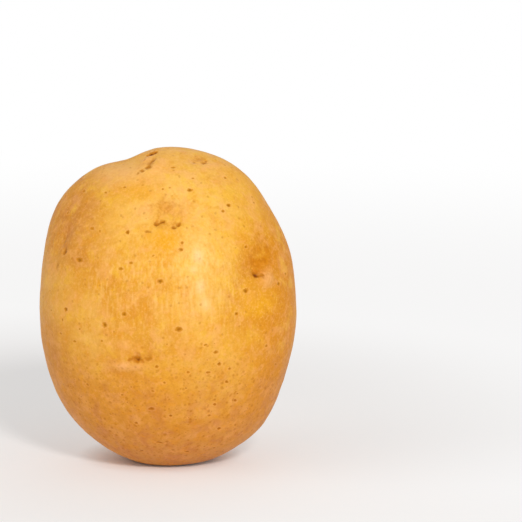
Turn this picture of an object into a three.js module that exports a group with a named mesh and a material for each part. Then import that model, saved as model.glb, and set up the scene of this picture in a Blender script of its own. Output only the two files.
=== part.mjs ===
// A seed potato: one oval tuber, standing on the small flat of its heel end with its rose end up.
// Millimetres, +Z up. The width runs along X and the thickness along Y, and the broad face with
// the shallow eyes looks along -Y. The origin is on the surface that the tuber stands on, under
// the middle of its bounding box.

import * as THREE from "three";
import { mergeVertices } from "three/addons/utils/BufferGeometryUtils.js";

// Driving dimensions of the plain oval that carries the lumps and the eyes.
const WIDTH = 55;
const THICKNESS = 47.4;
const LENGTH = 69.2;

// The heel is pressed flat over the last FOOT_SINK of the oval's length. The rim of the flat is
// eased over FOOT_EASE above and below the floor.
const FOOT_SINK = 1.1;
const FOOT_EASE = 0.7;

// The skin is an icosahedron whose edges are split DETAIL times: 20 * (DETAIL + 1)^2 faces.
const DETAIL = 19;
const MERGE_DISTANCE = 1e-5;

// Broad swells (rise above 0) and hollows (rise below 0). Azimuth is counted from +X towards +Y
// and elevation from the equator towards the rose end, in degrees. Spread is the angle at which a
// form has fallen to about a third, and rise is in millimetres.
const forms = [
  { name: "left shoulder", azimuth: 180, elevation: 47, rise: 2.2, spread: 19 },
  { name: "crown hollow", azimuth: 150, elevation: 74, rise: -1.6, spread: 8 },
  { name: "crown hollow front", azimuth: -164, elevation: 73, rise: -1, spread: 6 },
  { name: "right crest", azimuth: 0, elevation: 63, rise: 1, spread: 13 },
  { name: "right cheek", azimuth: 0, elevation: 28, rise: 0.4, spread: 13 },
  { name: "left hip", azimuth: 180, elevation: -42, rise: 0.8, spread: 17 },
  { name: "right hip", azimuth: 0, elevation: -50, rise: 1.0, spread: 16 },
  { name: "heel", azimuth: -90, elevation: -90, rise: 0.5, spread: 9 },
  { name: "rim of the stem scar", azimuth: 100, elevation: -61, rise: 0.6, spread: 9 },
  { name: "stem scar", azimuth: 100, elevation: -61, rise: -1.4, spread: 4.5 },
  { name: "front cheek", azimuth: -75, elevation: 20, rise: 0.5, spread: 24 },
  { name: "back bulge", azimuth: 80, elevation: -12, rise: 0.9, spread: 26 },
  { name: "back dip", azimuth: 120, elevation: 38, rise: -0.6, spread: 18 },
];

// The eyes follow a loose spiral from the heel to the rose end, most of them 120 to 170 degrees
// round from the one before. Length is that of the slit that holds the buds, hollow is the depth
// of the dip over it, brow is the height of the leaf scar under it, all in millimetres, and roll
// turns the slit anticlockwise, in degrees.
const eyes = [
  { azimuth: 119, elevation: -32, roll: 6, length: 4.5, hollow: 0.4, brow: 0.3 },
  { azimuth: -103, elevation: -15, roll: 0, length: 5.0, hollow: 0.35, brow: 0.35 },
  { azimuth: 35, elevation: -2, roll: -8, length: 4.8, hollow: 0.5, brow: 0.35 },
  { azimuth: 160, elevation: 9, roll: 5, length: 4.6, hollow: 0.5, brow: 0.35 },
  { azimuth: -38, elevation: 21, roll: 14, length: 4.6, hollow: 1.0, brow: 0.5 },
  { azimuth: 87, elevation: 30, roll: -4, length: 5.2, hollow: 0.7, brow: 0.4 },
  { azimuth: -150, elevation: 32, roll: 60, length: 4.2, hollow: 0.7, brow: 0.35 },
  { azimuth: 22, elevation: 40, roll: 10, length: 4.2, hollow: 0.5, brow: 0.3 },
  { azimuth: 139, elevation: 46, roll: 0, length: 5.0, hollow: 0.7, brow: 0.4 },
  { azimuth: -88, elevation: 48, roll: 2, length: 6.0, hollow: 0.6, brow: 0.3 },
  { azimuth: 55, elevation: 57, roll: -10, length: 4.6, hollow: 0.6, brow: 0.3 },
  { azimuth: -41, elevation: 72, roll: 5, length: 3.4, hollow: 0.45, brow: 0.25 },
  { azimuth: 107, elevation: 76, roll: 0, length: 4.0, hollow: 0.6, brow: 0.3 },
  { azimuth: -116, elevation: 76, roll: 80, length: 5.6, hollow: 0.7, brow: 0.5 },
];

const toRadians = THREE.MathUtils.degToRad;
const UP = new THREE.Vector3(0, 0, 1);

// The unit vector that points towards an azimuth and an elevation.
function towards(azimuth, elevation) {
  const level = Math.cos(toRadians(elevation));
  return new THREE.Vector3(
    level * Math.cos(toRadians(azimuth)),
    level * Math.sin(toRadians(azimuth)),
    Math.sin(toRadians(elevation)),
  );
}

// How far the plain oval's surface is from its centre along a unit vector.
function ovalRadius(direction) {
  const halves = new THREE.Vector3(WIDTH / 2, THICKNESS / 2, LENGTH / 2);
  return 1 / direction.clone().divide(halves).length();
}

// 1 where the two unit vectors agree, falling smoothly with the angle between them.
function bell(direction, peak, spread) {
  const width = toRadians(spread);
  return Math.exp((-2 * (1 - direction.dot(peak))) / (width * width));
}

function formRise(direction, form) {
  const peak = towards(form.azimuth, form.elevation);
  return form.rise * bell(direction, peak, form.spread);
}

// An eye's own axes: out of the skin, along the slit, and over the slit towards the rose end.
function eyeAxes({ azimuth, elevation, roll }) {
  const out = towards(azimuth, elevation);
  const along = new THREE.Vector3().crossVectors(UP, out).normalize();
  along.applyAxisAngle(out, toRadians(roll));
  const over = new THREE.Vector3().crossVectors(out, along);
  return { out, along, over };
}

// The relief of one eye: a dip over the slit, and a curved brow under it.
function eyeRise(direction, eye) {
  const { out, along, over } = eyeAxes(eye);
  if (direction.dot(out) <= 0) return 0;
  const radius = ovalRadius(out);
  const u = (direction.dot(along) * radius) / eye.length;
  const v = (direction.dot(over) * radius) / eye.length;
  const dip = Math.exp(-((u / 0.75) ** 2) - ((v - 0.4) / 0.6) ** 2);
  const browLine = 0.5 * u * u - 0.35;
  const brow = Math.exp(-((u / 0.85) ** 2) - ((v - browLine) / 0.3) ** 2);
  return eye.brow * brow - eye.hollow * dip;
}

function tuberRadius(direction) {
  let radius = ovalRadius(direction);
  for (const form of forms) radius += formRise(direction, form);
  for (const eye of eyes) radius += eyeRise(direction, eye);
  return radius;
}

// A height over the floor, eased so that whatever would sink below the floor lies flat on it.
function pressed(height) {
  const overlap = Math.max(FOOT_EASE - Math.abs(height), 0);
  return Math.max(height, 0) + (overlap * overlap) / (4 * FOOT_EASE);
}

function tuberGeometry() {
  const ball = new THREE.IcosahedronGeometry(1, DETAIL);
  ball.deleteAttribute("normal");
  ball.deleteAttribute("uv");
  const skin = mergeVertices(ball, MERGE_DISTANCE);
  const points = skin.getAttribute("position");
  const point = new THREE.Vector3();
  for (let i = 0; i < points.count; i++) {
    point.fromBufferAttribute(points, i).normalize();
    point.multiplyScalar(tuberRadius(point));
    points.setXYZ(i, point.x, point.y, pressed(point.z + LENGTH / 2 - FOOT_SINK));
  }
  skin.computeBoundingBox();
  const middle = skin.boundingBox.getCenter(new THREE.Vector3());
  skin.translate(-middle.x, -middle.y, 0);
  skin.computeVertexNormals();
  return skin;
}

const skinFinish = new THREE.MeshStandardMaterial({
  name: "skin",
  color: new THREE.Color(0xe2a046),
  roughness: 0.55,
  metalness: 0,
});

const tuber = new THREE.Mesh(tuberGeometry(), skinFinish);
tuber.name = "tuber";

const seedPotato = new THREE.Group();
seedPotato.name = "seed_potato";
seedPotato.add(tuber);

export default seedPotato;
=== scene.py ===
# A seed potato: one oval tuber standing on the flattened tip of its heel end, rose end up.
# Metres, +Z up, in the same frame as the solid model; the broad face looks along -Y.

import math
import random

import bmesh
import bpy
import numpy as np
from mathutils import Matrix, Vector, kdtree, noise
from mathutils.bvhtree import BVHTree


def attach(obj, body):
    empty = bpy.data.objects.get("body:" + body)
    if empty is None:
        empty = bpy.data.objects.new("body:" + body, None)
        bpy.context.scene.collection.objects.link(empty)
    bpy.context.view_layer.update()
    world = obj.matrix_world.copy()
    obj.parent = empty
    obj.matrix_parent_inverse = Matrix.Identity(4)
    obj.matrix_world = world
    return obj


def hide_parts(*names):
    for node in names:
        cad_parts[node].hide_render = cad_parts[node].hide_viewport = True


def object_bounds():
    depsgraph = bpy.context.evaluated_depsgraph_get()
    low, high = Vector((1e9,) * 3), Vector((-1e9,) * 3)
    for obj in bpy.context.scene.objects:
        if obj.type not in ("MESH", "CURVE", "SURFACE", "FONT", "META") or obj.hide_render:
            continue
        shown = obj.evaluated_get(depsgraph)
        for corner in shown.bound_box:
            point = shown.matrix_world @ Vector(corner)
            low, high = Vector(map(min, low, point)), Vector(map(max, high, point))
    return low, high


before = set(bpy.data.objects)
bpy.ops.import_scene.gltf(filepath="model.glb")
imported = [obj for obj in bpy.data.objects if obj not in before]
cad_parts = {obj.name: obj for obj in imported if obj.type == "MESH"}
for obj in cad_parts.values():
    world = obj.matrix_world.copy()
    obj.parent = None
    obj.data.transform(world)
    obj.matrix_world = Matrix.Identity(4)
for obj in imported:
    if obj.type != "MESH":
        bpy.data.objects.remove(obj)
cad_low, cad_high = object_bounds()


# ---------------------------------------------------------------------------------------------
# Camera: a long lens a little above the middle of the tuber, looking down at it by nine degrees
# and standing well back, with the tuber left of the middle of the frame.

MM = 0.001
CAMERA_AIM = Vector((19.9, 0, 43.5)) * MM
CAMERA_DISTANCE = 600 * MM
CAMERA_ELEVATION = math.radians(9)
CAMERA_LENS = 193.7
CAMERA_SENSOR = 36
CAMERA_NEAREST = 10 * MM
CAMERA_FARTHEST = 20

camera_data = bpy.data.cameras.new("camera")
camera_data.lens = CAMERA_LENS
camera_data.sensor_width = CAMERA_SENSOR
camera_data.clip_start = CAMERA_NEAREST
camera_data.clip_end = CAMERA_FARTHEST
camera = bpy.data.objects.new("camera", camera_data)
away = Vector((0, -math.cos(CAMERA_ELEVATION), math.sin(CAMERA_ELEVATION)))
camera.location = CAMERA_AIM + CAMERA_DISTANCE * away
camera.rotation_euler = (math.pi / 2 - CAMERA_ELEVATION, 0, 0)
bpy.context.scene.collection.objects.link(camera)
bpy.context.scene.camera = camera


# ---------------------------------------------------------------------------------------------
# Tuber form: one swollen stem, grown as one piece. Its form is that of the solid with the flat
# faces rounded off, and places on it are given from its core by azimuth and elevation.

CORE = Vector((0, 0, 33.5)) * MM
FORM_LEVELS = 2
FORM_SMOOTHING = 8
WELD = 0.001 * MM
UP = Vector((0, 0, 1))


def smooth_form(solid):
    """A search tree over the solid's surface with its flat faces rounded off."""
    form = bpy.data.objects.new("form", solid.data.copy())
    bpy.context.scene.collection.objects.link(form)
    welded = bmesh.new()
    welded.from_mesh(form.data)
    bmesh.ops.remove_doubles(welded, verts=welded.verts[:], dist=WELD)
    welded.to_mesh(form.data)
    welded.free()
    rounding = form.modifiers.new("rounding", "SUBSURF")
    rounding.levels = FORM_LEVELS
    evening = form.modifiers.new("evening", "SMOOTH")
    evening.iterations = FORM_SMOOTHING
    tree = BVHTree.FromObject(form, bpy.context.evaluated_depsgraph_get())
    form_mesh = form.data
    bpy.data.objects.remove(form)
    bpy.data.meshes.remove(form_mesh)
    return tree


form_tree = smooth_form(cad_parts["tuber"])


def towards(azimuth, elevation):
    """The unit vector from the core towards an azimuth and an elevation in degrees."""
    turn, lift = math.radians(azimuth), math.radians(elevation)
    level = math.cos(lift)
    return Vector((level * math.cos(turn), level * math.sin(turn), math.sin(lift)))


def surface_point(direction):
    """Where the skin lies in a direction from the core."""
    return form_tree.ray_cast(CORE, direction)[0]


class Place:
    """A point on the skin with its own axes: out of the skin, along and over, rose end up."""

    def __init__(self, azimuth, elevation, roll=0):
        self.direction = towards(azimuth, elevation)
        self.point = surface_point(self.direction)
        level = UP.cross(self.direction).normalized()
        rise = self.direction.cross(level)
        turn = math.radians(roll)
        self.along = math.cos(turn) * level + math.sin(turn) * rise
        self.over = math.cos(turn) * rise - math.sin(turn) * level

    def offset(self, along, over):
        """The point that lies this many millimetres along and over from here."""
        return self.point + (along * self.along + over * self.over) * MM

    def flat(self, points):
        """How far points lie along and over from here, in millimetres."""
        apart = (points - np.array(self.point)) / MM
        return apart @ np.array(self.along), apart @ np.array(self.over)


# ---------------------------------------------------------------------------------------------
# Eyes: leaf scars of thin corky skin that have split into short dark creases as the tuber
# swelled, with hollows and swellings of skin round them. They sit where the solid has its eyes.

# A crease is (along, over, length, tilt, width, depth, darkness). A patch is (kind, along, over,
# length, height, rise, tint): a hollow is tinted deep orange as painted shade, a glow is honey
# yellow and a brow is tinted pale as painted light. Lengths are in millimetres, tilts in degrees,
# and darkness and tint are shares.
PLAIN_PATCHES = (
    ("shaded_hollow", 0.0, 2.4, 6.0, 3.8, -0.15, 0.5),
    ("lit_brow", 0.0, -1.7, 5.2, 1.7, 0.18, 0.7),
)
PLAIN_CREASES = (
    (
        (-1.5, 0.2, 1.5, -12, 0.40, 0.40, 0.8),
        (0.5, -0.1, 1.1, 4, 0.48, 0.50, 1.0),
        (2.3, 0.5, 1.0, 24, 0.34, 0.25, 0.6),
    ),
    (
        (-0.7, 0.0, 1.9, -4, 0.44, 0.50, 0.95),
        (1.7, 0.4, 0.8, 28, 0.42, 0.35, 0.75),
        (-2.9, 0.7, 0.5, -30, 0.34, 0.20, 0.55),
    ),
    (
        (0.2, 0.0, 2.6, 3, 0.36, 0.45, 0.9),
        (-2.0, 0.5, 0.5, 0, 0.44, 0.30, 0.7),
        (0.4, 1.9, 0.5, 0, 0.36, 0.15, 0.5),
    ),
)
EYES = (
    {"azimuth": 119, "elevation": -32, "roll": 6},
    {
        "azimuth": -103, "elevation": -15, "roll": 0,
        "patches": (
            ("lit_brow", -3.0, -2.2, 7.4, 1.7, 0.25, 1.0),
            ("lit_brow", -2.6, 2.2, 4.0, 2.4, 0.05, 0.5),
            ("shaded_hollow", -4.4, -4.1, 6.0, 1.7, -0.08, 0.4),
        ),
        "creases": (
            (-0.45, -0.6, 0.9, 4, 0.62, 0.75, 1.0),
            (-1.75, -0.65, 1.2, 24, 0.30, 0.25, 0.8),
            (0.7, -0.9, 0.6, -50, 0.38, 0.30, 0.8),
            (1.9, -0.45, 1.3, 2, 0.44, 0.30, 0.65),
        ),
    },
    {"azimuth": 35, "elevation": -2, "roll": -8},
    {"azimuth": 160, "elevation": 9, "roll": 5},
    {
        "azimuth": -38, "elevation": 21, "roll": 14,
        "patches": (
            ("shaded_hollow", 2.5, 3.0, 7.4, 6.0, -0.25, 1.0),
            ("shaded_hollow", -1.8, 2.4, 4.6, 4.0, -0.10, 0.2),
            ("glow", -3.4, -0.8, 3.8, 3.4, 0.0, 0.7),
            ("glow", -1.8, -6.0, 7.0, 5.6, 0.0, 1.0),
            ("lit_brow", 1.5, -1.8, 3.6, 2.4, 0.45, 1.0),
        ),
        "creases": (
            (-0.5, 0.3, 0.7, 10, 0.60, 0.70, 1.0),
            (0.6, -0.4, 0.5, -20, 0.55, 0.25, 0.75),
        ),
    },
    {"azimuth": 87, "elevation": 30, "roll": -4},
    {
        "azimuth": -150, "elevation": 32, "roll": 60,
        "patches": (
            ("shaded_hollow", 0.6, 2.4, 5.5, 1.6, -0.10, 0.3),
            ("lit_brow", 1.8, 0.4, 5.6, 2.2, 0.20, 0.15),
        ),
        "creases": (
            (-0.9, -0.5, 0.9, 24, 0.70, 0.25, 0.75),
            (-4.6, -0.8, 0.6, 8, 0.60, 0.15, 0.4),
        ),
    },
    {"azimuth": 22, "elevation": 40, "roll": 10},
    {"azimuth": 139, "elevation": 46, "roll": 0},
    {
        "azimuth": -88, "elevation": 47, "roll": 0,
        "patches": (
            ("shaded_hollow", -0.4, 3.4, 6.4, 4.0, -0.25, 0.55),
            ("shaded_hollow", 0.4, 0.2, 5.4, 1.8, -0.05, 0.4),
            ("glow", -0.6, -3.4, 5.8, 4.4, 0.0, 1.0),
            ("lit_brow", -5.0, 3.2, 3.6, 3.4, 0.0, 0.6),
        ),
        "creases": (
            (-2.25, 0.35, 0.7, 12, 0.52, 0.45, 0.9),
            (-1.15, 0.75, 0.8, 20, 0.42, 0.35, 0.85),
            (1.3, -0.6, 0.6, 12, 0.42, 0.35, 0.8),
            (2.15, 0.1, 0.7, 52, 0.42, 0.40, 0.85),
            (-4.1, -1.25, 1.2, -12, 0.38, 0.22, 0.5),
        ),
    },
    {"azimuth": 55, "elevation": 57, "roll": -10},
    {
        "azimuth": -41, "elevation": 72, "roll": 5,
        "patches": (
            ("shaded_hollow", 0.8, 1.8, 5.0, 2.2, -0.12, 0.4),
            ("lit_brow", -0.5, -1.2, 4.5, 1.3, 0.12, 0.5),
        ),
        "creases": (
            (0.3, 0.1, 0.8, 6, 0.42, 0.20, 0.8),
            (1.3, 0.4, 0.7, 12, 0.34, 0.15, 0.4),
            (-1.5, 1.3, 0.5, 0, 0.36, 0.12, 0.4),
        ),
    },
    {"azimuth": 107, "elevation": 76, "roll": 0},
    {
        "azimuth": -116, "elevation": 76, "roll": 80,
        "patches": (
            ("lit_brow", 0.6, 0.8, 3.4, 2.2, 0.25, 0.7),
            ("lit_brow", -2.0, -3.2, 4.4, 1.6, 0.10, 0.5),
        ),
        "creases": (
            (3.0, 1.5, 2.1, 137, 0.48, 0.50, 1.15),
            # painted shade: this wide faint crease darkens the recess below the top slit
            (-0.6, -1.1, 3.4, 9, 0.70, 0.20, 0.6),
            (-2.4, -1.4, 0.8, 9, 0.60, 0.20, 0.75),
            (-3.6, -0.8, 0.3, 20, 0.52, 0.16, 0.75),
            (-4.6, -0.3, 0.4, 20, 0.44, 0.10, 0.4),
        ),
    },
)
EYE_REACH = 9
CREASE_STEP = 0.7
CREASE_REACH = 1.1
CREASE_MARGIN = 0.55
CREASE_RAGGEDNESS = 0.55

# The ends, walls, shade and lip of a crease are given in widths of the crease. The lip's share is
# of its depth.
END_WIDTH = 0.4
SHELF_WALL = 1.9
BROW_WALL = 0.8
SHADE_WIDTH = 1.15
LIP = {"share": 0.16, "under": 1.9, "width": 1.1}
BUD = {"rise": 0.18, "over": 0.95, "length": 1.4, "height": 0.9}

for i, eye in enumerate(EYES):
    eye["place"] = Place(eye["azimuth"], eye["elevation"], eye["roll"])
    eye.setdefault("creases", PLAIN_CREASES[i % len(PLAIN_CREASES)])
    eye.setdefault("patches", PLAIN_PATCHES)


def noise_at(points, size, shift):
    """Smooth noise from -1 to 1 with features of this many millimetres."""
    offset = Vector((shift, -shift, shift * 0.5))
    return np.array([noise.noise(Vector(p) + offset) for p in points / (size * MM)])


def mound(u, v, along, over, length, height):
    """1 in the middle of an oval of this length and height, falling to a third at its rim."""
    return np.exp(-((2 * (u - along) / length) ** 2) - (2 * (v - over) / height) ** 2)


def eye_spots():
    """Where the creases need a fine net, as (point on the skin, reach in metres)."""
    spots = []
    for eye in EYES:
        for along, over, length, tilt, width, _, _ in eye["creases"]:
            turn = math.radians(tilt)
            reach = CREASE_REACH * (CREASE_MARGIN + width) * MM
            steps = max(2, round(length / CREASE_STEP))
            for step in range(steps + 1):
                run = (step / steps - 0.5) * length
                point = eye["place"].offset(along + run * math.cos(turn), over + run * math.sin(turn))
                spots.append((point, reach))
    return spots


def crease_relief(u, v, crease, ragged, patchy):
    """How far a crease and the lip under it raise the skin, in millimetres, and how dark it is."""
    along, over, length, tilt, width, depth, darkness = crease
    turn = math.radians(tilt)
    run = (u - along) * math.cos(turn) + (v - over) * math.sin(turn)
    across = (v - over) * math.cos(turn) - (u - along) * math.sin(turn)
    across = across + CREASE_RAGGEDNESS * width * ragged
    taper = np.clip(1 - (2 * run / (length + 2 * width)) ** 2, 0, 1)
    reach = width * (END_WIDTH + (1 - END_WIDTH) * taper)
    wall = np.where(across > 0, SHELF_WALL, BROW_WALL) * reach
    cut = np.exp(-((across / wall) ** 2)) * taper
    lip = np.exp(-(((across + LIP["under"] * width) / (LIP["width"] * width)) ** 2)) * taper
    shade = np.exp(-((across / (SHADE_WIDTH * reach)) ** 2)) * taper
    dark = shade * darkness * (0.85 + 0.5 * patchy)
    return depth * (LIP["share"] * lip - cut), np.clip(dark, 0, 1)


def press_eye(skin, eye):
    """Presses an eye's hollows and creases into the skin, and raises its brows and its bud."""
    place = eye["place"]
    near = skin.near(place.point, EYE_REACH)
    u, v = place.flat(skin.co[near])
    ragged = noise_at(skin.co[near], 0.6, place.point.x * 300)
    patchy = noise_at(skin.co[near], 0.8, place.point.z * 300)
    lumpy = noise_at(skin.co[near], 1.9, place.point.y * 300)
    for kind, along, over, length, height, rise, tint in eye["patches"]:
        share = mound(u, v, along, over, length, height)
        skin.rise[near] += rise * share
        share = np.clip(share * (1 + 0.4 * patchy + 0.9 * lumpy), 0, 1)
        skin.mark(kind, tint * share, near)
    for crease in eye["creases"]:
        rise, dark = crease_relief(u, v, crease, ragged, patchy)
        skin.rise[near] += rise
        skin.mark("crease", dark, near)
    skin.rise[near] += BUD["rise"] * mound(u, v, 0, BUD["over"], BUD["length"], BUD["height"])


# ---------------------------------------------------------------------------------------------
# Pores: small corky specks that the tuber breathes through, most of them a little wider than
# tall. They lie all over the skin and crowd towards the heel end. The plainest ones have a place
# of their own, and the rest are strewn between them.

# (azimuth, elevation, radius), in degrees and millimetres
PLAIN_PORES = (
    (-135, 42, 0.30), (-138, 28, 0.46), (-113, 27, 0.32), (-112, 43, 0.38), (-92, 22, 0.38),
    (-124, 61, 0.24), (-137, 57, 0.24), (-156, 54, 0.28), (-158, 44, 0.28), (-92, 62, 0.22),
    (-81, 72, 0.30), (-70, 61, 0.34), (-64, 66, 0.24), (-33, 63, 0.28), (-45, 52, 0.36),
    (-81, 36, 0.34), (-80, 39, 0.30), (-43, 34, 0.32), (-26, 15, 0.38), (-18, 18, 0.30),
    (-48, 15, 0.44), (-143, 5, 0.40), (-110, 6, 0.38), (-120, 0, 0.46), (-83, -1, 0.46),
    (-54, 5, 0.36), (-64, -13, 0.32), (-62, -19, 0.34), (-94, -20, 0.32), (-98, -41, 0.34),
    (-54, -51, 0.34),
)
HEEL_MARK = {"azimuth": -95, "elevation": -59, "roll": -14, "radius": 0.26, "wider": 3.2}
STREWN_PORES = 190
STREWN_RADIUS = (0.15, 0.30)
STREWN_ROLL = 25
PORE_SEED = 7
PORE_WIDENING = (1.0, 1.7)
PORE_GAP = 1.5
EYE_GAP = 3.5
LEAST_CROWDING = 0.3
PORE_NET_REACH = 2.0
PORE_REACH = 2.4
PORE_RAGGEDNESS = 0.45
PORE_DEPTH = 0.30
PORE_RIM = {"rise": 0.10, "radius": 1.6, "width": 0.4}


def pore_crowding(direction):
    """How likely a pore is to form, 1 at the heel end and least from just over the middle."""
    lowness = min(max(0.25 - 1.1 * direction.z, 0), 1)
    return LEAST_CROWDING + (1 - LEAST_CROWDING) * lowness


def grown_pores():
    """All pores, as dictionaries of place, radius and widening, with radii in millimetres."""
    draw = random.Random(PORE_SEED)
    pores = []
    for azimuth, elevation, radius in PLAIN_PORES:
        pores.append({"place": Place(azimuth, elevation), "radius": radius})
    heel_place = Place(HEEL_MARK["azimuth"], HEEL_MARK["elevation"], HEEL_MARK["roll"])
    pores.append({"place": heel_place, "radius": HEEL_MARK["radius"], "wider": HEEL_MARK["wider"]})
    taken = [pore["place"].point for pore in pores]
    wanted = len(pores) + STREWN_PORES
    while len(pores) < wanted:
        azimuth = draw.uniform(-180, 180)
        elevation = math.degrees(math.asin(draw.uniform(-1, 1)))
        radius = draw.uniform(*STREWN_RADIUS)
        if draw.random() > pore_crowding(towards(azimuth, elevation)):
            continue
        place = Place(azimuth, elevation, draw.uniform(-STREWN_ROLL, STREWN_ROLL))
        if min((place.point - other).length for other in taken) < PORE_GAP * MM:
            continue
        if min((place.point - eye["place"].point).length for eye in EYES) < EYE_GAP * MM:
            continue
        pores.append({"place": place, "radius": radius})
        taken.append(place.point)
    for pore in pores:
        pore.setdefault("wider", draw.uniform(*PORE_WIDENING))
    return pores


pores = grown_pores()


def pore_spots():
    """Where the pores need a fine net, as (point on the skin, reach in metres)."""
    spots = []
    for pore in pores:
        for side in (-0.5, 0.5):
            shift = side * pore["radius"] * (pore["wider"] - 1)
            spots.append((pore["place"].offset(shift, 0), PORE_NET_REACH * pore["radius"] * MM))
    return spots


def pore_darkness(radius):
    """How dark a pore is, from 0 to 1. Small pores are fainter."""
    return min(1, 0.12 + 2.2 * radius)


def press_pore(skin, pore, number):
    """Presses a pore into the skin, with a low rim round it."""
    radius, wider = pore["radius"], pore["wider"]
    near = skin.near(pore["place"].point, PORE_REACH * radius * wider)
    u, v = pore["place"].flat(skin.co[near])
    ragged = noise_at(skin.co[near], 0.4, number * 0.37)
    spread = np.hypot(u / wider, v) / radius + PORE_RAGGEDNESS * ragged
    share = np.exp(-np.maximum(spread, 0) ** 2)
    rim = np.exp(-(((spread - PORE_RIM["radius"]) / PORE_RIM["width"]) ** 2))
    skin.rise[near] -= PORE_DEPTH * radius * share
    skin.rise[near] += PORE_RIM["rise"] * radius * rim
    skin.mark("pore", share * pore_darkness(radius), near)


# ---------------------------------------------------------------------------------------------
# Stem scar: the corky dimple at the heel end, behind, where the tuber hung on its runner. It has
# a dark broken middle and a rough ring round it.

STEM_SCAR = Place(100, -61)
SCAR_REACH = 6
SCAR_NET_REACH = 3.4
SCAR_PIT = {"depth": 0.45, "radius": 0.7}
SCAR_RING = {"rise": 0.22, "radius": 1.9, "width": 0.6}
SCAR_CORK = 1.6

# (size, reach, shift) of the noise that makes the scar ragged, with size and reach in millimetres
SCAR_RAGGEDNESS = ((1.1, 0.5, 5.1), (0.5, 0.2, 2.3))


def press_scar(skin):
    """Presses the scar's pit into the skin and raises the corky ring round it."""
    near = skin.near(STEM_SCAR.point, SCAR_REACH)
    u, v = STEM_SCAR.flat(skin.co[near])
    away = np.hypot(u, v)
    for size, reach, shift in SCAR_RAGGEDNESS:
        away = away + reach * noise_at(skin.co[near], size, shift)
    pit = np.exp(-((away / SCAR_PIT["radius"]) ** 2))
    ring = np.exp(-(((away - SCAR_RING["radius"]) / SCAR_RING["width"]) ** 2))
    skin.rise[near] += SCAR_RING["rise"] * ring - SCAR_PIT["depth"] * pit
    skin.mark("cork", np.clip(SCAR_CORK - away / SCAR_RING["radius"], 0, 1), near)
    skin.mark("crease", pit, near)


# ---------------------------------------------------------------------------------------------
# Skin net: the mesh of the tuber. A cube's grid is swelled onto the form, its cells are halved
# where a crease or a pore needs them, and halved again close in, and all are cut into triangles.

GRID_CELLS = 80
NET_LEVELS = 2
NET_MARGIN = 0.35


def even_direction(co):
    """The direction of a point on the cube's grid, spread evenly and stretched to the tuber."""
    half = (cad_high - cad_low) / 2
    spread = Vector([math.tan(math.pi / 4 * c) for c in co]).normalized()
    return Vector([s * h for s, h in zip(spread, half)]).normalized()


def skin_net(spots):
    """The fine mesh of the form, with cells halved around some spots."""
    net = bmesh.new()
    bmesh.ops.create_cube(net, size=2)
    bmesh.ops.subdivide_edges(net, edges=net.edges[:], cuts=GRID_CELLS - 1, use_grid_fill=True)
    for level in range(NET_LEVELS):
        faces = net.faces[:]
        middles = kdtree.KDTree(len(faces))
        for i, face in enumerate(faces):
            middles.insert(surface_point(even_direction(face.calc_center_median())), i)
        middles.balance()
        margin = NET_MARGIN * MM / (level + 1)
        chosen = set()
        for point, reach in spots:
            chosen.update(i for _, i, _ in middles.find_range(point, reach + margin))
        edges = {edge for i in chosen for edge in faces[i].edges}
        bmesh.ops.subdivide_edges(net, edges=list(edges), cuts=1, use_grid_fill=True)
        many_sided = [face for face in net.faces if len(face.verts) > 4]
        bmesh.ops.triangulate(net, faces=many_sided, ngon_method="BEAUTY")
    for vert in net.verts:
        vert.co = surface_point(even_direction(vert.co))
    bmesh.ops.triangulate(net, faces=net.faces[:], quad_method="BEAUTY", ngon_method="BEAUTY")
    mesh = bpy.data.meshes.new("whole_tuber")
    net.to_mesh(mesh)
    net.free()
    mesh.shade_smooth()
    return mesh


mesh = skin_net(eye_spots() + pore_spots() + [(STEM_SCAR.point, SCAR_NET_REACH * MM)])


# ---------------------------------------------------------------------------------------------
# Skin relief: the low swells that growing leaves, a fine roughness that is strongest at the heel
# end, and the eyes, pores and stem scar. What lies in each of them, and broad patches of fresher
# or older skin and of painted light and shade, are marked on the mesh, so that the finish can
# colour them.

SWELLS = ((11, 0.16), (4.5, 0.08), (2.0, 0.03))
ROUGHNESS = ((1.0, 0.025), (1.9, 0.05))
ROUGH_UP_TO = 34 * MM
LEAST_ROUGHNESS = 0.3
HEEL_SWELL = {"azimuth": -20, "elevation": -60, "length": 20, "height": 17, "rise": 0.5}
FOOT_CLEAR = 1.2 * MM

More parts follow.
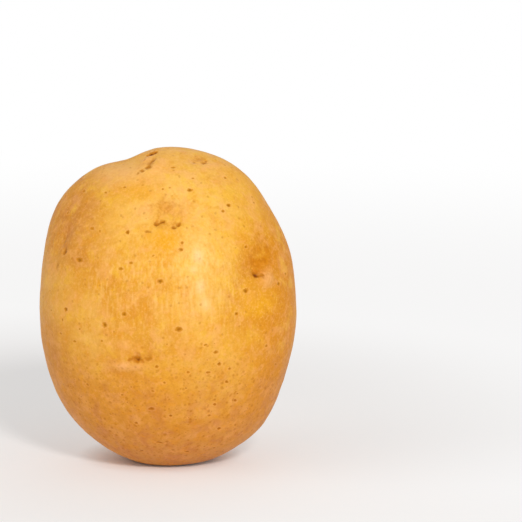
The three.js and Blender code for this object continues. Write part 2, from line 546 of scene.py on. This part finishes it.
# (azimuth, elevation, length, height, share), in degrees and millimetres: fresh skin is smooth
# and straw yellow, and on the front it is also a painted sheen; tanned skin is old and brown, and
# also painted shade on the left shoulder and the right flank; a glow is honey yellow; a brow is
# peach, painted light in the dip beside the crown; and a rubbed spot is a nearly white painted
# highlight
BROAD_PATCHES = {
    "fresh_and_sheen": (
        (-70, 30, 17, 32, 1.0), (-105, 50, 18, 14, 0.7), (-74, 59, 30, 14, 0.9),
        (-138, 67, 14, 8, 1.0), (-157, 12, 14, 18, 1.0), (-129, -5, 9, 17, 0.8),
        (-64, -29, 17, 20, 0.85), (-112, 37, 9, 9, 0.5), (-88, 0, 7, 9, 0.6),
        (95, 10, 30, 44, 0.7), (20, 20, 14, 30, 0.5),
    ),
    "tanned_and_shade": (
        (-154, 36, 13, 22, 1.0), (-103, 2, 20, 26, 0.4), (-48, 10, 12, 14, 0.8),
        (-158, -12, 12, 16, 0.8), (-142, 31, 13, 11, 0.7), (-117, 18, 14, 11, 0.4),
        (-96, -12, 8, 8, 0.6), (150, -10, 30, 26, 0.5),
    ),
    "glow": (
        (-113, 61, 9, 4, 0.9), (-88, 41, 7, 4.5, 1.0), (-45, 9, 8, 7, 0.8),
        # the last patch below, low on the right flank, is painted shade
        (-146, 11, 22, 20, 0.25), (-86, -32, 14, 11, 0.25), (-50, -6, 13, 22, 0.2),
    ),
    "lit_brow": ((-136, 68, 14, 6, 0.7), (-146, 64, 9, 5, 0.6)),
    "painted_highlight": (
        (-72, 33, 2.0, 2.8, 0.8), (-75, 27, 1.6, 1.6, 0.6), (-72, 19, 1.8, 2.8, 0.8),
        (-70, 11, 2.0, 3.0, 0.5),
    ),
}


def vertex_vectors(mesh, name):
    """A vector that every vertex of a mesh has, such as its place or its normal, as rows."""
    values = np.empty(len(mesh.vertices) * 3)
    mesh.vertices.foreach_get(name, values)
    return values.reshape(-1, 3)


class Skin:
    """The points of the skin, how far each is raised in millimetres, and what is marked there."""

    def __init__(self, mesh):
        self.mesh = mesh
        self.co = vertex_vectors(mesh, "co")
        self.normals = vertex_vectors(mesh, "normal")
        self.rise = np.zeros(len(self.co))
        self.marks = {}
        self.search = kdtree.KDTree(len(self.co))
        for i, point in enumerate(self.co):
            self.search.insert(point, i)
        self.search.balance()

    def near(self, point, reach):
        """The numbers of the points that lie within this many millimetres of a point."""
        return np.array([i for _, i, _ in self.search.find_range(point, reach * MM)], int)

    def mark(self, name, share, where=slice(None)):
        """Marks some points with a share, where it is larger than what is there already."""
        values = self.marks.setdefault(name, np.zeros(len(self.co)))
        values[where] = np.maximum(values[where], share)

    def settle(self):
        """Moves the points out by their rise, except at the foot, and writes the marks."""
        ease = np.clip(self.co[:, 2] / FOOT_CLEAR, 0, 1)
        ease = ease * ease * (3 - 2 * ease)
        raised = self.co + self.normals * (self.rise * ease * MM)[:, None]
        raised[:, 2] = np.maximum(raised[:, 2], 0)
        self.mesh.vertices.foreach_set("co", raised.reshape(-1))
        for name, values in self.marks.items():
            layer = self.mesh.attributes.new(name, "FLOAT", "POINT")
            layer.data.foreach_set("value", values.astype(np.float32))
        self.mesh.update()


def swell_skin(skin):
    """Raises low swells all over the skin, and a wider one beside the heel."""
    for i, (size, height) in enumerate(SWELLS):
        skin.rise += height * noise_at(skin.co, size, 3.7 * i)
    place = Place(HEEL_SWELL["azimuth"], HEEL_SWELL["elevation"])
    u, v = place.flat(skin.co)
    facing = (skin.co - np.array(CORE)) @ np.array(place.direction) > 0
    share = mound(u, v, 0, 0, HEEL_SWELL["length"], HEEL_SWELL["height"])
    skin.rise += HEEL_SWELL["rise"] * share * facing


def roughen_skin(skin):
    """Roughens the skin finely, and more towards the heel end."""
    share = LEAST_ROUGHNESS + np.clip(0.75 - skin.co[:, 2] / ROUGH_UP_TO, 0, 1)
    for i, (size, height) in enumerate(ROUGHNESS):
        skin.rise += height * noise_at(skin.co, size, 11.3 + i) * share


def mark_patches(skin):
    """Marks the broad patches, each on its own side of the tuber."""
    for name, patches in BROAD_PATCHES.items():
        for azimuth, elevation, length, height, share in patches:
            u, v = Place(azimuth, elevation).flat(skin.co)
            facing = skin.co @ np.array(towards(azimuth, 0)) > 0
            skin.mark(name, share * mound(u, v, 0, 0, length, height) * facing)


skin = Skin(mesh)
swell_skin(skin)
roughen_skin(skin)
mark_patches(skin)
for eye in EYES:
    press_eye(skin, eye)
press_scar(skin)
for i, pore in enumerate(pores):
    press_pore(skin, pore, i)
skin.settle()

tuber = bpy.data.objects.new("whole_tuber", mesh)
bpy.context.scene.collection.objects.link(tuber)
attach(tuber, "root")
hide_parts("tuber")


# ---------------------------------------------------------------------------------------------
# Skin finish: dry thin golden skin, yellower where it is smooth and fresh, peach and tan where
# it is corky, browner at the heel end, finely mottled all over and dark in the creases and pores.
# Shade is painted on the flanks and in the eye hollows, light on the brows, and a sheen and
# highlights on the front.


def paint(red, green, blue):
    """A colour given in the steps of a paint chart, 0 to 255, as the linear value it stands for."""
    steps = [c / 255 for c in (red, green, blue)]
    return tuple(c / 12.92 if c <= 0.04045 else ((c + 0.055) / 1.055) ** 2.4 for c in steps) + (1,)


GOLD = paint(241, 173, 50)
STRAW = paint(249, 197, 98)
LEMON = paint(246, 190, 56)
AMBER = paint(230, 150, 20)
DEEP_AMBER_SHADE = paint(222, 140, 8)
PEACH = paint(247, 178, 108)
TAN = paint(242, 180, 82)
RUSSET = paint(219, 145, 50)
UMBER = paint(203, 127, 44)
TIP = paint(222, 156, 76)
CLAY = paint(208, 132, 70)
CORK = paint(176, 122, 66)
HONEY = paint(238, 166, 26)
OCHRE_SHADE = paint(212, 128, 0)
BROW_LIGHT = paint(250, 183, 110)
CREAM = paint(255, 208, 124)
HIGHLIGHT_WHITE = paint(255, 216, 152)
BISTRE = paint(194, 110, 8)
PORE = paint(204, 130, 10)
PORE_CORE = paint(172, 106, 0)
HEEL_PORE = paint(192, 114, 16)
HEEL_PORE_CORE = paint(170, 94, 0)
CREASE = paint(192, 118, 10)
CREASE_CORE = paint(112, 48, 0)
SKIN_SHINE = 0.15
SKIN_ROUGHNESS = (0.42, 0.56)
BUMP_STRENGTH = 0.68


class Finish:
    """The nodes of one finish. An input takes a value, a socket or a share that varies."""

    def __init__(self, tree):
        self.tree = tree

    def put(self, socket, value):
        """Gives an input its value, or links it to where its value comes from."""
        value = getattr(value, "socket", value)
        if isinstance(value, bpy.types.NodeSocket):
            self.tree.links.new(value, socket)
        else:
            socket.default_value = value

    def add(self, kind, inputs=(), **settings):
        """A new node with its settings and its inputs."""
        node = self.tree.nodes.new(kind)
        for name, value in settings.items():
            setattr(node, name, value)
        for name, value in dict(inputs).items():
            self.put(node.inputs[name], value)
        return node

    def share(self, output, kind, inputs=(), **settings):
        """The number that a new node puts out."""
        return Share(self, self.add(kind, inputs, **settings).outputs[output])

    def vector(self, operation, first, second):
        """One step of arithmetic on two vectors."""
        inputs = {0: first, 1: second}
        return self.add("ShaderNodeVectorMath", inputs, operation=operation).outputs["Vector"]


class Share:
    """A number that varies over a finish. Sums with it add nodes to the finish."""

    def __init__(self, finish, socket):
        self.finish = finish
        self.socket = socket

    def maths(self, operation, first, second):
        """One step of arithmetic on two values or shares."""
        inputs = {0: first, 1: second}
        return self.finish.share(0, "ShaderNodeMath", inputs, operation=operation)

    def __add__(self, other):
        return self.maths("ADD", self, other)

    def __mul__(self, other):
        return self.maths("MULTIPLY", self, other)

    def __rsub__(self, other):
        return self.maths("SUBTRACT", other, self)

    def larger(self, other):
        return self.maths("MAXIMUM", self, other)

    def smaller(self, other):
        return self.maths("MINIMUM", self, other)

    def below(self, limit):
        """1 where this is below a limit, and 0 elsewhere."""
        return self.maths("LESS_THAN", self, limit)

    def ramp(self, low, high, out_low=0.0, out_high=1.0):
        """Maps low..high smoothly to out_low..out_high."""
        inputs = {
            "Value": self, "From Min": low, "From Max": high, "To Min": out_low, "To Max": out_high,
        }
        return self.finish.share(
            "Result", "ShaderNodeMapRange", inputs, interpolation_type="SMOOTHSTEP"
        )


skin_material = bpy.data.materials.new("potato_skin")
skin_material.use_nodes = True
skin_finish = Finish(skin_material.node_tree)
shader = skin_finish.tree.nodes["Principled BSDF"]
on_tuber = skin_finish.add("ShaderNodeTexCoord").outputs["Object"]


def stretched(share_x, share_y, share_z):
    """The place on the tuber in millimetres, with each axis scaled by a share."""
    scale = (share_x / MM, share_y / MM, share_z / MM)
    return skin_finish.vector("MULTIPLY", on_tuber, scale)


place_mm = stretched(1, 1, 1)
lengthwise = stretched(1, 1, 0.16)


def clouds(size, detail=2.0, roughness=0.5, distortion=0.0, place=place_mm):
    """Cloudy noise with features of about this many millimetres."""
    inputs = {
        "Vector": place, "Scale": 1 / size, "Detail": detail, "Roughness": roughness,
        "Distortion": distortion,
    }
    return skin_finish.share("Fac", "ShaderNodeTexNoise", inputs)


def coat(under, over, share):
    """A colour with another one painted over it by a share."""
    mix = skin_finish.add("ShaderNodeMix", data_type="RGBA")
    colours = [socket for socket in mix.inputs if socket.type == "RGBA"]
    skin_finish.put(mix.inputs["Factor"], share)
    skin_finish.put(colours[0], under)
    skin_finish.put(colours[1], over)
    return [socket for socket in mix.outputs if socket.type == "RGBA"][0]


def marked(name):
    """What the mesh says of one kind of mark."""
    return skin_finish.share("Fac", "ShaderNodeAttribute", attribute_name=name)


def bent_place(reach):
    """The place on the tuber shaken by up to this many millimetres, for specks of odd shapes."""
    inputs = {"Vector": place_mm, "Scale": 1 / 0.7, "Detail": 2.0}
    shake = skin_finish.add("ShaderNodeTexNoise", inputs).outputs["Color"]
    shift = skin_finish.vector("MULTIPLY", shake, (reach, reach, reach))
    return skin_finish.vector("ADD", place_mm, shift)


def specks(size, radius, share, place):
    """Small specks, one for some of the cells of this many millimetres."""
    cells = skin_finish.add("ShaderNodeTexVoronoi", {"Vector": place, "Scale": 1 / size})
    chance = skin_finish.share("Red", "ShaderNodeSeparateColor", {0: cells.outputs["Color"]})
    away = Share(skin_finish, cells.outputs["Distance"])
    return chance.below(share) * away.ramp(radius / size, 0.4 * radius / size)


axes = skin_finish.add("ShaderNodeSeparateXYZ", {0: place_mm}).outputs
across, through, height = [Share(skin_finish, axes[name]) for name in "XYZ"]
upper = height.ramp(14, 36)
lower = height.ramp(36, 14)
# painted shade in the eye hollows; the raised skin is all that lies outside them
shaded_hollow = marked("shaded_hollow")
raised = 1.0 - shaded_hollow

# broad zones with ragged edges: gold, with a tan rose end, a russet heel end and a russet back,
# and painted shade on the flanks, russet on the left and deep amber on the right
ragged = clouds(8, 4, 0.62)
crown = (height + ragged * 14).ramp(64, 74, 0.0, 0.7)
heel = (height + ragged * 24).ramp(48, 18, 0.0, 0.95)
tip = (height + ragged * 8).ramp(18, 7, 0.0, 0.8)
left_shade = (across + ragged * 16).ramp(8, -18, 0.0, 0.7)
right_shade = (across + ragged * 10).ramp(18, 29, 0.0, 0.95) * height.ramp(60, 46, 0.4, 1.0)
back = (through + ragged * 14).ramp(6, 20, 0.0, 0.6)
# fresh skin, which is also a painted sheen on the front
fresh_and_sheen = clouds(4, 4, 0.6, 0.5).ramp(0.30, 0.60, 0.35, 1.0) * marked("fresh_and_sheen")
# tanned skin, which is also painted shade on the left shoulder and the right flank
tanned_and_shade = clouds(5, 4, 0.6, 0.5).ramp(0.30, 0.60, 0.6, 1.0) * marked("tanned_and_shade")
colour = coat(GOLD, AMBER, clouds(6, 3, 0.55, 0.4).ramp(0.48, 0.66) * 0.7)
zones = (
    (TAN, crown), (RUSSET, left_shade), (RUSSET, back), (STRAW, fresh_and_sheen), (UMBER, tanned_and_shade),
    (DEEP_AMBER_SHADE, right_shade), (RUSSET, heel), (TIP, tip),
)
for over, share in zones:
    colour = coat(colour, over, share)

# patches of peach, lemon, clay and amber, clay mostly at the heel end and on the flanks
flank = heel.larger(left_shade * height.ramp(44, 54, 0.15, 1.0)).larger(back)
peachy = upper.ramp(0, 1, 0.3, 0.4)
colour = coat(colour, PEACH, clouds(4.2, 4, 0.62, 0.6).ramp(0.48, 0.66) * peachy)
colour = coat(colour, LEMON, clouds(3.6, 4, 0.6, 0.7).ramp(0.50, 0.68) * (upper * 0.5))
colour = coat(colour, CLAY, clouds(3.2, 4, 0.62, 0.5).ramp(0.46, 0.66) * (flank * 0.7))
colour = coat(colour, AMBER, clouds(2.4, 3, 0.6, 0.3).ramp(0.52, 0.68) * 0.4)

# faint lengthwise streaks down the middle of the broad face, the pale ones partly a painted sheen
streaks = clouds(0.55, 2, 0.5, 0.0, lengthwise)
middle = height.ramp(25, 41) * height.ramp(58, 46) * through.ramp(-16, -21)
colour = coat(colour, AMBER, streaks.ramp(0.50, 0.72, 0, 0.42) * middle)
colour = coat(colour, CREAM, streaks.ramp(0.50, 0.30, 0, 0.36) * middle)

# the skin round the eyes, the cork of the stem scar and the painted highlights on the front
colour = coat(colour, HONEY, marked("glow"))
# painted shade in the eye hollows
colour = coat(colour, OCHRE_SHADE, shaded_hollow)
# painted light: the brows are paled where they catch the lamp
colour = coat(colour, BROW_LIGHT, marked("lit_brow") * 0.85)
colour = coat(colour, CORK, marked("cork") * 0.9)
colour = coat(colour, HIGHLIGHT_WHITE, marked("painted_highlight"))

# mottling, flecks and specks, darker at the heel end, and darker in the hollows as painted shade
coarse = clouds(1.3, 3, 0.6)
colour = coat(colour, BISTRE, coarse.ramp(0.42, 0.60) * (shaded_hollow * 0.45))
colour = coat(colour, BISTRE, coarse.ramp(0.50, 0.70) * lower.ramp(0, 1, 0.14, 0.26))
colour = coat(colour, PEACH, coarse.ramp(0.48, 0.28, 0.0, 0.3) * raised)
fine = clouds(0.5, 3, 0.6)
colour = coat(colour, BISTRE, fine.ramp(0.50, 0.72) * lower.ramp(0, 1, 0.13, 0.30))
colour = coat(colour, BISTRE, fine.ramp(0.46, 0.62) * (shaded_hollow * 0.4))
colour = coat(colour, CREAM, fine.ramp(0.50, 0.30, 0.0, 0.25) * (upper * raised))
bent = bent_place(0.5)
colour = coat(colour, BISTRE, specks(1.5, 0.40, 0.35, bent) * 0.4)
colour = coat(colour, BISTRE, specks(1.3, 0.45, 0.35, bent) * 0.6 * lower)
colour = coat(colour, BISTRE, specks(0.8, 0.28, 0.5, bent) * 0.5 * lower)

# pores with a faint pale ring, and the creases
pore_mark = marked("pore")
halo = pore_mark.ramp(0.01, 0.07) * pore_mark.ramp(0.35, 0.12)
colour = coat(colour, PEACH, halo * 0.2)
colour = coat(colour, coat(PORE, HEEL_PORE, lower), pore_mark.ramp(0.10, 0.50, 0.0, 0.9))
colour = coat(colour, coat(PORE_CORE, HEEL_PORE_CORE, lower), pore_mark.ramp(0.50, 0.90))
crease_mark = marked("crease")
colour = coat(colour, CREASE, crease_mark.ramp(0.05, 0.50, 0.0, 0.9))
colour = coat(colour, CREASE_CORE, crease_mark.ramp(0.50, 1.0))
skin_finish.put(shader.inputs["Base Color"], colour)

skin_finish.put(shader.inputs["Roughness"], clouds(1.4, 4, 0.6).ramp(0.3, 0.7, *SKIN_ROUGHNESS))
shader.inputs["Specular IOR Level"].default_value = SKIN_SHINE

grain = clouds(0.45, 4, 0.6) * 0.10 + clouds(1.6, 3, 0.5) * 0.16 + streaks * 0.10 * middle
bumps = {"Height": grain, "Strength": BUMP_STRENGTH, "Distance": MM}
normal = skin_finish.add("ShaderNodeBump", bumps).outputs["Normal"]
skin_finish.put(shader.inputs["Normal"], normal)
mesh.materials.append(skin_material)


# ---------------------------------------------------------------------------------------------
# Floor and light: a wide sheet of white paper that fades to plain white behind the tuber, under
# one large soft lamp from the front right, two weaker ones and an even pale surround.

FLOOR_RADIUS = 4
FLOOR_SIDES = 96
PAPER = (0.92, 0.89, 0.87, 1)
WHITE = (1, 1, 1, 1)
SHADE_MIDDLE = Vector((-30, 40, 0)) * MM
CONTACT_MIDDLE = Vector((-2, 5, 0)) * MM
SURROUND_STRENGTH = 0.50

floor_mesh = bpy.data.meshes.new("paper")
sheet = bmesh.new()
bmesh.ops.create_circle(sheet, cap_ends=True, segments=FLOOR_SIDES, radius=FLOOR_RADIUS)
sheet.to_mesh(floor_mesh)
sheet.free()
floor = bpy.data.objects.new("paper", floor_mesh)
bpy.context.scene.collection.objects.link(floor)

paper_material = bpy.data.materials.new("paper")
paper_material.use_nodes = True
paper_material.node_tree.nodes.clear()
paper = Finish(paper_material.node_tree)
on_paper = paper.add("ShaderNodeTexCoord").outputs["Object"]


def paper_distance(middle):
    """How far the paper is from a point on it, in metres."""
    inputs = {0: on_paper, 1: middle}
    return paper.share("Value", "ShaderNodeVectorMath", inputs, operation="DISTANCE")


# the paper glows plain white away from the tuber, and the glow thins near it so that its shadow
# shows; it thins most round a point behind and left of the tuber, at its foot and in front of it,
# which also paints shade on the paper there
from_shade = paper_distance(SHADE_MIDDLE)
ahead = paper.share("Y", "ShaderNodeSeparateXYZ", {0: on_paper})
glow = from_shade.ramp(0.06, 0.155, 0.34, 0.75) + from_shade.ramp(0.155, 0.52, 0.0, 0.25)
glow = glow * ahead.ramp(-0.055, -0.020, 0.75, 1.0)
glow = glow.smaller(paper_distance(CONTACT_MIDDLE).ramp(0.008, 0.034))
path = paper.add("ShaderNodeLightPath").outputs
seen = Share(paper, path["Is Camera Ray"]).larger(path["Is Glossy Ray"])
lit = paper.add("ShaderNodeBsdfDiffuse", {"Color": PAPER}).outputs[0]
white = paper.add("ShaderNodeEmission", {"Color": WHITE}).outputs[0]
surface = paper.add("ShaderNodeMixShader", {0: glow * seen, 1: lit, 2: white}).outputs[0]
paper.add("ShaderNodeOutputMaterial", {"Surface": surface})
floor_mesh.materials.append(paper_material)


def lamp(name, azimuth, elevation, distance, size, power):
    """A round soft lamp of this size in metres that looks at the core of the tuber."""
    data = bpy.data.lights.new(name, "AREA")
    data.shape = "DISK"
    data.size = size
    data.energy = power
    item = bpy.data.objects.new(name, data)
    item.location = CORE + distance * towards(azimuth, elevation)
    item.rotation_euler = (item.location - CORE).to_track_quat("Z", "Y").to_euler()
    bpy.context.scene.collection.objects.link(item)


lamp("key", azimuth=-72, elevation=31, distance=0.9, size=0.16, power=4.05)
lamp("fill", azimuth=-160, elevation=25, distance=0.9, size=0.6, power=1.0)
lamp("back fill", azimuth=80, elevation=40, distance=1.2, size=0.8, power=1.0)

world = bpy.data.worlds.new("surround")
bpy.context.scene.world = world
world.use_nodes = True
world.node_tree.nodes.clear()
surround = Finish(world.node_tree)
pale = {"Color": WHITE, "Strength": SURROUND_STRENGTH}
lighting = surround.add("ShaderNodeBackground", pale).outputs[0]
backdrop = surround.add("ShaderNodeBackground", {"Color": WHITE, "Strength": 1.0}).outputs[0]
seen = surround.add("ShaderNodeLightPath").outputs["Is Camera Ray"]
surface = surround.add("ShaderNodeMixShader", {0: seen, 1: lighting, 2: backdrop}).outputs[0]
surround.add("ShaderNodeOutputWorld", {"Surface": surface})

bpy.context.scene.view_settings.view_transform = "Standard"
